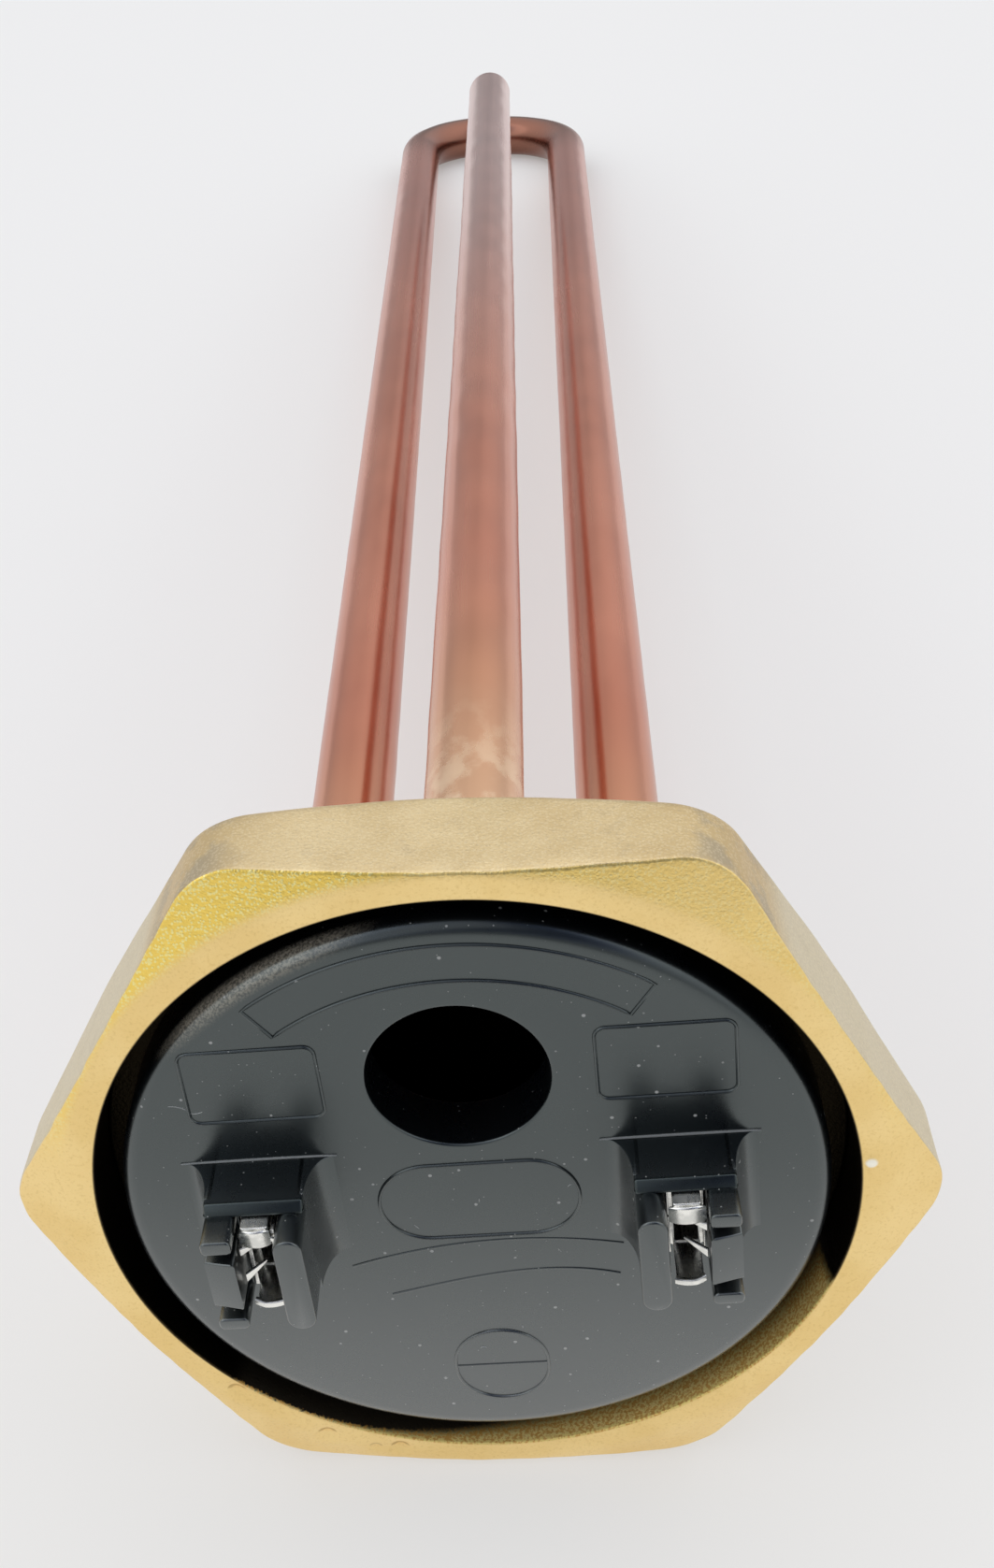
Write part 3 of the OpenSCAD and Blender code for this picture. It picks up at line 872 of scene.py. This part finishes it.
def face_mesh():
    """Face plate, rim, skirt and rod collar as one closed sheet. Rays leave the rod hole's
    middle, and each row is where they meet a circle round the hole or round the insert.
    """
    angles = circle_of(360)
    ray = np.stack([np.cos(angles), np.sin(angles)], -1)
    hole = np.array([0.0, WELL_Z])

    def ring(radius, y):
        """Circle round the insert's middle: d = -h.e + sqrt((h.e)^2 - h.h + r^2)."""
        lean = ray @ hole
        d = -lean + np.sqrt(lean ** 2 - hole @ hole + radius ** 2)
        return np.stack([d, np.full(len(d), y)], -1)

    def collar(radius, y):
        """Circle round the rod hole's middle."""
        return np.stack([np.full(len(angles), radius), np.full(len(angles), y)], -1)

    back, collar_end = FACE_Y + PLATE_T, FACE_Y + COLLAR_DEPTH
    skirt_r, collar_r = INSERT_R - SKIRT_T, ROD_HOLE_R + COLLAR_T
    corners = [
        collar(ROD_HOLE_R, collar_end - 0.6), collar(ROD_HOLE_R, FACE_Y),
        ring(INSERT_R, FACE_Y), ring(INSERT_R, RECESS_Y), ring(skirt_r, RECESS_Y),
        ring(skirt_r, back), collar(collar_r, back), collar(collar_r, collar_end),
        collar(ROD_HOLE_R, collar_end), collar(ROD_HOLE_R, collar_end - 0.5),
    ]
    rows = rounded(corners, [0.25, 1.24 * RIM_R, 0.2, 0.2, 0.4, 0.3, 0.2, 0.2], 9, 14)
    flat = hole + rows[..., :1] * ray
    points = np.stack([flat[..., 0], rows[..., 1], flat[..., 1]], -1)
    front = smooth(FACE_Y + 0.3, FACE_Y, points[..., 1])
    points[..., 1] += front * ripple(points, 14.0, 51) * 0.025
    shell = Shell(on_insert(points), wrap_rows=True)
    wide = 2 * (SOCKET_HALF_W + POCKET_PLAY)
    tall = SOCKET_TOP - SOCKET_FOOT + 2 * POCKET_PLAY
    outline = round_box(wide, tall, 0.2) + [SOCKET_X, (SOCKET_TOP + SOCKET_FOOT) / 2]
    pocket = prism(outline, -1.0, PLATE_T + 1.0, facing_front)
    pockets = [pocket.moved(on_tower(side)) for _, side in SIDES]
    return pierced(mesh_of("insert_face", [shell]), pockets)


def stadium(width, low, high, x):
    """Outline of a bar with round ends that stands at x, from low to high."""
    outline = round_box(width, high - low, 0.49 * width, 10)
    return outline + [x, (low + high) / 2]


def tower_mesh(name, side):
    """Socket tower as closed prisms: two flares into the face, each hollowed by a quarter
    ellipse, a top slab with a bevelled end, the inner post, and the outer post in three
    pieces with a sloped tongue between slots.
    """
    arc = np.linspace(math.pi, math.pi / 2, 14)
    hollow_x = TOWER_HALF + FLARE_W * (1 + np.cos(arc))
    hollow = np.stack([hollow_x, FLARE_REACH * (np.sin(arc) - 1)], -1)
    root = PLATE_T / 2
    inside, outside = TOWER_HALF - 0.5, TOWER_HALF + FLARE_W
    flare = np.concatenate(
        [[[inside, root], [inside, -FLARE_REACH]], hollow, [[outside, root]]])
    parts = [
        prism(flare * [sign, 1], TOWER_FOOT, TOWER_TOP, facing_up, 0.05, 0.05)
        for sign in (1, -1)
    ]
    bevel = WALL_BEVEL - WALL_REACH
    slab = soft_outline(
        [[root, WALL_FOOT], [-WALL_REACH, WALL_FOOT], [bevel, TOWER_TOP], [root, TOWER_TOP]],
        (0.1, 0.22, 0.12, 0.1),
    )
    parts.append(prism(slab, -TOWER_HALF, TOWER_HALF, facing_side, 0.22, 0.22))
    inner_x, outer_x = INNER_POST_W / 2 - TOWER_HALF, TOWER_HALF - OUTER_POST_W / 2
    post = stadium(INNER_POST_W, TOWER_FOOT, POST_TOP, inner_x)
    parts.append(prism(post, -POST_REACH, root, facing_front, 0.16, 0.05))
    base = stadium(OUTER_POST_W, TOWER_FOOT, POST_TOP, outer_x)
    parts.append(prism(base, -FLARE_REACH, root, facing_front, 0.05, 0.05))
    for low, high in ((UPPER_PIECE_FOOT, POST_TOP), (TOWER_FOOT, LOWER_PIECE_TOP)):
        outline = round_box(OUTER_POST_W, high - low, 0.38) + [outer_x, (low + high) / 2]
        parts.append(prism(outline, -POST_REACH + 0.25, root, facing_front, 0.16, 0.05))
    near, far = outer_x - OUTER_POST_W / 2, outer_x + OUTER_POST_W / 2
    tongue = np.array([
        [far, root], [near, root], [near, -POST_REACH], [near + 0.3, -POST_REACH],
        [far, -POST_REACH + TONGUE_FALL * OUTER_POST_W], [far, -2.0],
    ])
    parts.append(prism(tongue, TONGUE_FOOT, TONGUE_TOP, facing_up, 0.16, 0.16))
    return mesh_of(name, [part.moved(on_tower(side)) for part in parts])


show("insert_face", face_mesh(), MOULDING, "black_moulding", "terminal_insert")
for name, side in SIDES:
    tower = tower_mesh(f"tower_{name}", side)
    show(f"tower_{name}", tower, MOULDING, "black_moulding", "terminal_insert")


# Raised outlines on the face, with places in the insert's own (x, z)

# Band under the rim: outer and inner radius, and half its span in degrees
BAND_R = 22.1, 19.3
BAND_SPAN = 35.5
# Two boxes, a stadium and an oval: width, height, corner radius, points in a corner, middle
FRAMES = [
    (8.8, 6.0, 0.7, 6, (-13.2, 11.75)), (8.8, 6.0, 0.7, 6, (13.2, 11.75)),
    (13.4, 6.8, 3.35, 14, (0.3, 0.3)), (6.6, 7.2, 3.25, 14, (0.3, -16.4)),
]
# Line across the oval: both ends' x, and z
OVAL_LINE = -3.0, 3.6, -16.4
# Knots of the two lines of the arched band
ARCHES = [
    [(-9.0, -5.4), (-7.2, -5.0), (0.3, -3.6), (6.3, -4.0), (9.6, -4.6)],
    [(-6.6, -8.5), (-3.0, -7.6), (0.3, -7.0), (6.0, -6.8), (9.2, -7.6)],
]
# Lint and flash: x, z, length, turn in degrees, curl
FIBRES = [
    (-18.9, 10.4, 1.6, -25.0, -0.5), (-17.6, 9.7, 0.9, 5.0, 0.4),
    (-11.6, 2.6, 0.7, 60.0, 1.8), (17.5, 9.0, 0.6, 80.0, 0.2),
]
# Ranges of the scattered lint, in the same order, and its count
LINT_LOW, LINT_HIGH = (-16, -16, 0.25, 0, -1), (16, 2, 0.6, 180, 1)
LINT_COUNT = 10


def rib(path, closed, width=0.24, height=0.14, dust=0.0):
    """Half-round bead along a flat path: across it, height times sqrt(1 - s^2)."""
    width = np.broadcast_to(width, len(path))
    if closed:
        beside = leftward(np.roll(path, -1, 0) - np.roll(path, 1, 0))
    else:
        beside = leftward(np.gradient(path, axis=0))
    s = np.array([-1, -0.92, -0.6, 0, 0.6, 0.92, 1, 1, -1])
    lift = np.array([0.04, *(-height * np.sqrt(1 - s[1:6] ** 2)), 0.04, 0.3, 0.3])
    flat = path[:, None] + beside[:, None] * (s * width[:, None] / 2)[..., None]
    points = np.stack([flat[..., 0], FACE_Y + lift + 0 * flat[..., 0], flat[..., 1]], -1)
    caps = () if closed else (0, -1)
    return Shell(on_insert(points), wrap_rows=closed, caps=caps, marks={"dust": dust})


def arc_path(radius, start, stop, count=60):
    """Arc by angle from straight up, clockwise, in degrees."""
    a = np.radians(np.linspace(start, stop, count))
    return radius * np.stack([np.sin(a), np.cos(a)], -1)


def outlines_mesh():
    """Bare outlines moulded on the face: a band under the rim, two boxes, a stadium, an arched
    band between the towers, an oval with a line across, a seam behind each tower, and lint.
    """
    outer, inner = BAND_R
    band = [arc_path(outer, -BAND_SPAN, BAND_SPAN), arc_path(inner, BAND_SPAN, -BAND_SPAN)]
    shells = [rib(np.concatenate(band), True)]
    for width, height, radius, steps, middle in FRAMES:
        shells.append(rib(round_box(width, height, radius, steps) + middle, True))
    for points in ARCHES:
        knots = np.array(points)
        t = np.linspace(knots[0, 0], knots[-1, 0], 50)
        curve = np.polyfit(knots[:, 0], knots[:, 1], 3)
        shells.append(rib(np.stack([t, np.polyval(curve, t)], -1), False, 0.24, 0.08))
    start, stop, level = OVAL_LINE
    line = np.linspace((start, level), (stop, level), 24)
    shells.append(rib(line, False, 0.22, 0.08))
    t = np.linspace(-1, 1, 40)
    thinning = np.sqrt(1 - t ** 2)
    half = TOWER_HALF + FLARE_W + 0.15
    for _, side in SIDES:
        seam = np.stack([side * TOWER_X + t * half, TOWER_TOP + 0.05 + 0 * t], -1)
        # The seam's pale mark, 0.35, is a painted highlight along it.
        shells.append(rib(seam, False, 0.05 + 0.17 * thinning, 0.13, 0.35))
    rng = np.random.default_rng(61)
    lint = rng.uniform(LINT_LOW, LINT_HIGH, (LINT_COUNT, len(LINT_LOW))).tolist()
    for x, z, length, turn, curl in FIBRES + lint:
        bend = math.radians(turn) + curl * t
        step = np.stack([np.cos(bend), np.sin(bend)], -1) * length / len(t)
        path = np.cumsum(step, 0) + [x, z]
        shells.append(rib(path, False, 0.03 + 0.05 * thinning, 0.05, 0.8))
    return mesh_of("insert_outlines", shells)


show("insert_outlines", outlines_mesh(), MOULDING, "black_moulding", "terminal_insert")


# Contacts

def strip(path, height, thickness, z):
    """Leaf of sheet: a thin round-edged section carried along a path in the (x, y) plane,
    with its own height and middle at each point.
    """
    beside = leftward(np.gradient(path, axis=0))
    section = round_box(thickness, 1.0, thickness * 0.45, 4)
    flat = path[:, None] + beside[:, None] * section[:, :1]
    middle, tall = (np.broadcast_to(value, len(path))[:, None] for value in (z, height))
    rise = middle + tall * section[:, 1]
    return Shell(np.concatenate([flat, rise[..., None]], -1), caps=(0, -1))


def pin_spot(side):
    """Middle of the pin at the tail's eye, in the tower's (x, z)."""
    foot, way, _ = leg_frame(side)
    x, _, z = foot + way * (FACE_Y + TAIL_Y - foot[1]) / way[1]
    c, s = math.cos(INSERT_TURN), math.sin(INSERT_TURN)
    return np.array([side * (x * c + z * s) - TOWER_X, z * c - x * s])


# Side leaves' thickness, reach of the inner and outer leaf, and half the upper lip's width
SOCKET_FOLDS = {
    "socket_left": (0.3, 4.6, 3.2, 0.9),
    "socket_right": (0.12, 2.4, 2.4, 1.12),
}


def socket_mesh(name, side):
    """Folded socket: a sleeve carried along y, sheets that run forward from it, lips and springs
    as strips along bowed lines, and a flat tail that ends in an eye round the pin.
    """
    along = np.linspace(0, 1, 20)
    t = np.linspace(-1, 1, 24)

    def at(flat, y):
        """Outline in (x, z) at one y."""
        return facing_front(flat, np.full(len(flat), y))

    def sheet(width, x, reach, radius):
        """Outline, seen from above, of a sheet from inside the sleeve to its reach."""
        start = SLEEVE_REACH - 0.5
        return round_box(width, reach - start, radius) + [x, -(reach + start) / 2]

    def line(first, last, bow):
        """From first to last in (x, y), where y follows the power `bow` of the way."""
        (x, y), (end_x, end_y) = first, last
        return np.stack([x + (end_x - x) * along, y + (end_y - y) * along ** bow], -1)

    tall, middle = SOCKET_TOP - SOCKET_FOOT, (SOCKET_TOP + SOCKET_FOOT) / 2
    outer = round_box(2 * SOCKET_HALF_W, tall, 0.45) + [SOCKET_X, middle]
    inner = inset(outer, SHEET_T)
    back = TAIL_Y + TAIL_T
    sleeve = [at(outer, -SLEEVE_REACH), at(outer, back), at(inner, back), at(inner, -SLEEVE_REACH)]
    shells = [Shell(np.stack(sleeve), wrap_rows=True)]
    upper, lower = (SOCKET_TOP - 0.4, SOCKET_TOP - 0.05), (SOCKET_FOOT, SOCKET_FOOT + 0.3)
    for (low, high), reach in ((upper, 5.0), (lower, 4.9)):
        plate = sheet(1.8, SOCKET_X, reach, 0.2)
        shells.append(prism(plate, low, high, facing_up, 0.08, 0.08))
    thick, inner_reach, outer_reach, arch_half = SOCKET_FOLDS[name]
    edge = SOCKET_HALF_W - thick / 2
    for x, reach in ((SOCKET_X - edge, inner_reach), (SOCKET_X + edge, outer_reach)):
        leaf = sheet(thick, x, reach, 0.05)
        shells.append(prism(leaf, SOCKET_FOOT + 0.2, SOCKET_TOP - 0.7, facing_up, 0.04, 0.04))
    arch = np.stack([SOCKET_X + arch_half * t, -SOCKET_REACH - 0.35 + 0.3 * t ** 2], -1)
    shells.append(strip(arch, 1.5 - 0.25 * t ** 4, 0.3, SOCKET_TOP - 0.9 - 0.1 * t ** 2))
    for first, last, bow, height, thickness, z in (
        ((-0.9, -4.9), (-1.3, -4.85), 1, 0.4 - 0.3 * along, 0.2, SOCKET_TOP - 1.2),
        ((0.8, -4.9), (1.12, -4.3), 2, 1.3 - 0.4 * along, 0.25, SOCKET_TOP - 1.1 - 0.5 * along),
        ((1.12, -5.0), (0.3, -4.75), 1.5, 0.65 - 0.4 * along, 0.22, SOCKET_TOP - 2.1 + 0.3 * along),
        ((1.12, -4.9), (-0.3, -4.4), 1.2, 0.75 - 0.62 * along, 0.22, -0.3 + along),
    ):
        shells.append(strip(line(first, last, bow), height, thickness, z))
    painted_lip_highlight = np.stack([SOCKET_X + 0.95 * t, -SOCKET_REACH - 0.15 + 0.2 * t ** 2], -1)
    shells.append(strip(painted_lip_highlight, 0.5, 0.32, SOCKET_FOOT + 0.28 + 0.3 * np.maximum(t - 0.4, 0)))
    eye = pin_spot(side)
    foot = np.array([SOCKET_X, SOCKET_FOOT + SHEET_T])
    run = (eye - foot) / np.linalg.norm(eye - foot)
    stop = eye - 1.9 * run
    half = SOCKET_HALF_W * np.array([-run[1], run[0]])
    tail = np.array([foot + half, foot - half, stop - half, stop + half])
    shells.append(prism(tail, TAIL_Y, back, facing_front, 0.1, 0.1))
    turn = circle_of(48)
    loop = np.stack([np.cos(turn), np.sin(turn)], -1)
    wide, narrow = eye + EYE_R * loop, eye + PIN_R * loop
    washer = [at(wide, TAIL_Y), at(wide, back), at(narrow, back), at(narrow, TAIL_Y)]
    shells.append(Shell(np.stack(washer), wrap_rows=True))
    return mesh_of(name, [shell.moved(on_tower(side)) for shell in shells])


for name, side in SIDES:
    socket = socket_mesh(f"socket_{name}", side)
    show(f"socket_{name}", socket, TIN, "tinned_contact", f"contact_{name}")

# Solids that stay as they are
KEPT = {
    "magnesia_fill": MAGNESIA, "resistance_coil": STEEL,
    "terminal_pin_left": STEEL, "terminal_pin_right": STEEL,
    "end_seal_left": RESIN, "end_seal_right": RESIN,
    "pin_bush_left": CERAMIC, "pin_bush_right": CERAMIC,
}
for name, finish in KEPT.items():
    nodes[name].data.materials.clear()
    nodes[name].data.materials.append(finish)


# Floor, light and camera
CAMERA_PLACE = (4.819, -90.653, 89.883)
CAMERA_TURN = Vector((0.5539, 0.0396, -0.0428))
FOCAL_PX = 1887.41
CENTRE_PX = (477.14, 757.54)
FRAME_PX = (1063, 1677)
SENSOR = 36.0
FLOOR_HALF = 6000
# Sky's strength at the horizon, what is added overhead, and what is added at both sides
SKY_LOW, SKY_TOP, SKY_SIDES = 0.11, 1.05, 0.55
# Cosines at the edge and the core of the dim cone round the camera, and how far it is dimmed
EYE_CONE = 0.72, 0.93
EYE_DIM = 0.93
BACKDROP = 0.86


def floor_mesh():
    """Flat sheet through the hexagon's lower rear edge and the element's far underside."""
    far_y, far_z = BEND_Y + BEND_R, LEG_Z - SHEATH_R - BEND_SWELL
    slope = (far_z + HEX_HALF) / far_y
    span = np.linspace(-FLOOR_HALF, FLOOR_HALF, 9)
    x, y = np.meshgrid(span, span, indexing="ij")
    points = np.stack([x, y, slope * y - HEX_HALF], -1)
    return mesh_of("floor", [Shell(points, wrap_cols=False)])


floor_sheet = floor_mesh()
floor = bpy.data.objects.new("floor", floor_sheet)
bpy.context.scene.collection.objects.link(floor)


def floor_finish():
    """Pale diffuse floor, lifted for what the camera and polished surfaces see of it, and lifted
    more ahead of the plug as painted light, which makes the plug's shadow faint there.
    """
    f = Finish("pale_floor")
    direct = f.add("ShaderNodeLightPath", {}, {}, "Is Camera Ray")
    seen = direct.most(direct.beside("Is Glossy Ray"))
    # Painted light: ahead of the plug, less diffuse and more glow, which fades its shadow.
    painted_light_ahead = f.y.band(40.0, -20.0)
    matt = f.blend(painted_light_ahead, rgb(0.625, 0.615, 0.60), rgb(0.30, 0.295, 0.288))
    lift = f.blend(painted_light_ahead, rgb(0.29, 0.287, 0.281), rgb(0.574, 0.568, 0.556))
    diffuse = f.add("ShaderNodeBsdfDiffuse", {}, {"Color": matt})
    glow = f.add("ShaderNodeEmission", {}, {"Color": lift, "Strength": seen})
    both = f.add("ShaderNodeAddShader", {}, {0: diffuse, 1: glow})
    f.add("ShaderNodeOutputMaterial", {}, {"Surface": both})
    return f.material


floor_sheet.materials.append(floor_finish())

scene = bpy.context.scene
scene.view_settings.view_transform = "Standard"
world = bpy.data.worlds.new("studio")
scene.world = world
world.use_nodes = True


def studio_sky():
    """Sky of strength low + top z + sides |x|, dim and blue in a cone round the camera's
    place. The camera itself sees the floor's pale tone.
    """
    w = Nodes(world.node_tree)
    way = w.add("ShaderNodeTexCoord", {}, {}, "Generated")
    toward = tuple((Vector(CAMERA_PLACE) - Vector((0, FACE_Y, 0))).normalized())
    near_eye = w.add(
        "ShaderNodeVectorMath", {"operation": "DOT_PRODUCT"}, {0: way, 1: toward}, "Value")
    dim = near_eye.band(*EYE_CONE)
    across, _, up = w.axes(way)
    strength = SKY_LOW + SKY_TOP * up.most(0.0) + SKY_SIDES * across.most(-1 * across)
    strength = strength * (1 - EYE_DIM * dim)
    colour = w.blend(dim, rgb(0.95, 0.97, 1.0), rgb(0.25, 0.4, 1.0))
    seen = w.add("ShaderNodeLightPath", {}, {}, "Is Camera Ray")
    strength = strength * (1 - seen) + BACKDROP * seen
    colour = w.blend(seen, colour, rgb(0.97, 0.985, 1.0))
    sky = w.add("ShaderNodeBackground", {}, {"Color": colour, "Strength": strength})
    w.add("ShaderNodeOutputWorld", {}, {"Surface": sky})


studio_sky()


def lamp(name, toward, strength, spread):
    """Broad distant light from the direction `toward`, as wide as `spread` degrees."""
    data = bpy.data.lights.new(name, "SUN")
    data.energy = strength
    data.angle = math.radians(spread)
    light = bpy.data.objects.new(name, data)
    light.rotation_mode = "QUATERNION"
    light.rotation_quaternion = Vector(toward).to_track_quat("Z", "Y")
    scene.collection.objects.link(light)


lamp("window_left", (-0.45, -0.55, 0.72), 0.5, 70)
lamp("window_right", (0.55, 0.45, 0.7), 0.2, 90)


def camera():
    """Camera of the photograph: turn, place, focal length and picture centre as fitted."""
    upright = Matrix(((1, 0, 0), (0, 0, -1), (0, 1, 0)))
    view = Matrix.Rotation(CAMERA_TURN.length, 3, CAMERA_TURN.normalized()) @ upright
    axes = Matrix((view[0], -view[1], -view[2])).transposed()
    data = bpy.data.cameras.new("camera")
    data.sensor_width = SENSOR
    data.lens = FOCAL_PX * SENSOR / FRAME_PX[1]
    data.shift_x = (FRAME_PX[0] / 2 - CENTRE_PX[0]) / FRAME_PX[1]
    data.shift_y = (CENTRE_PX[1] - FRAME_PX[1] / 2) / FRAME_PX[1]
    data.clip_start, data.clip_end = 0.005, 50
    eye = bpy.data.objects.new("camera", data)
    eye.matrix_world = Matrix.Translation(Vector(CAMERA_PLACE) * MM) @ axes.to_4x4()
    scene.collection.objects.link(eye)
    scene.camera = eye


camera()
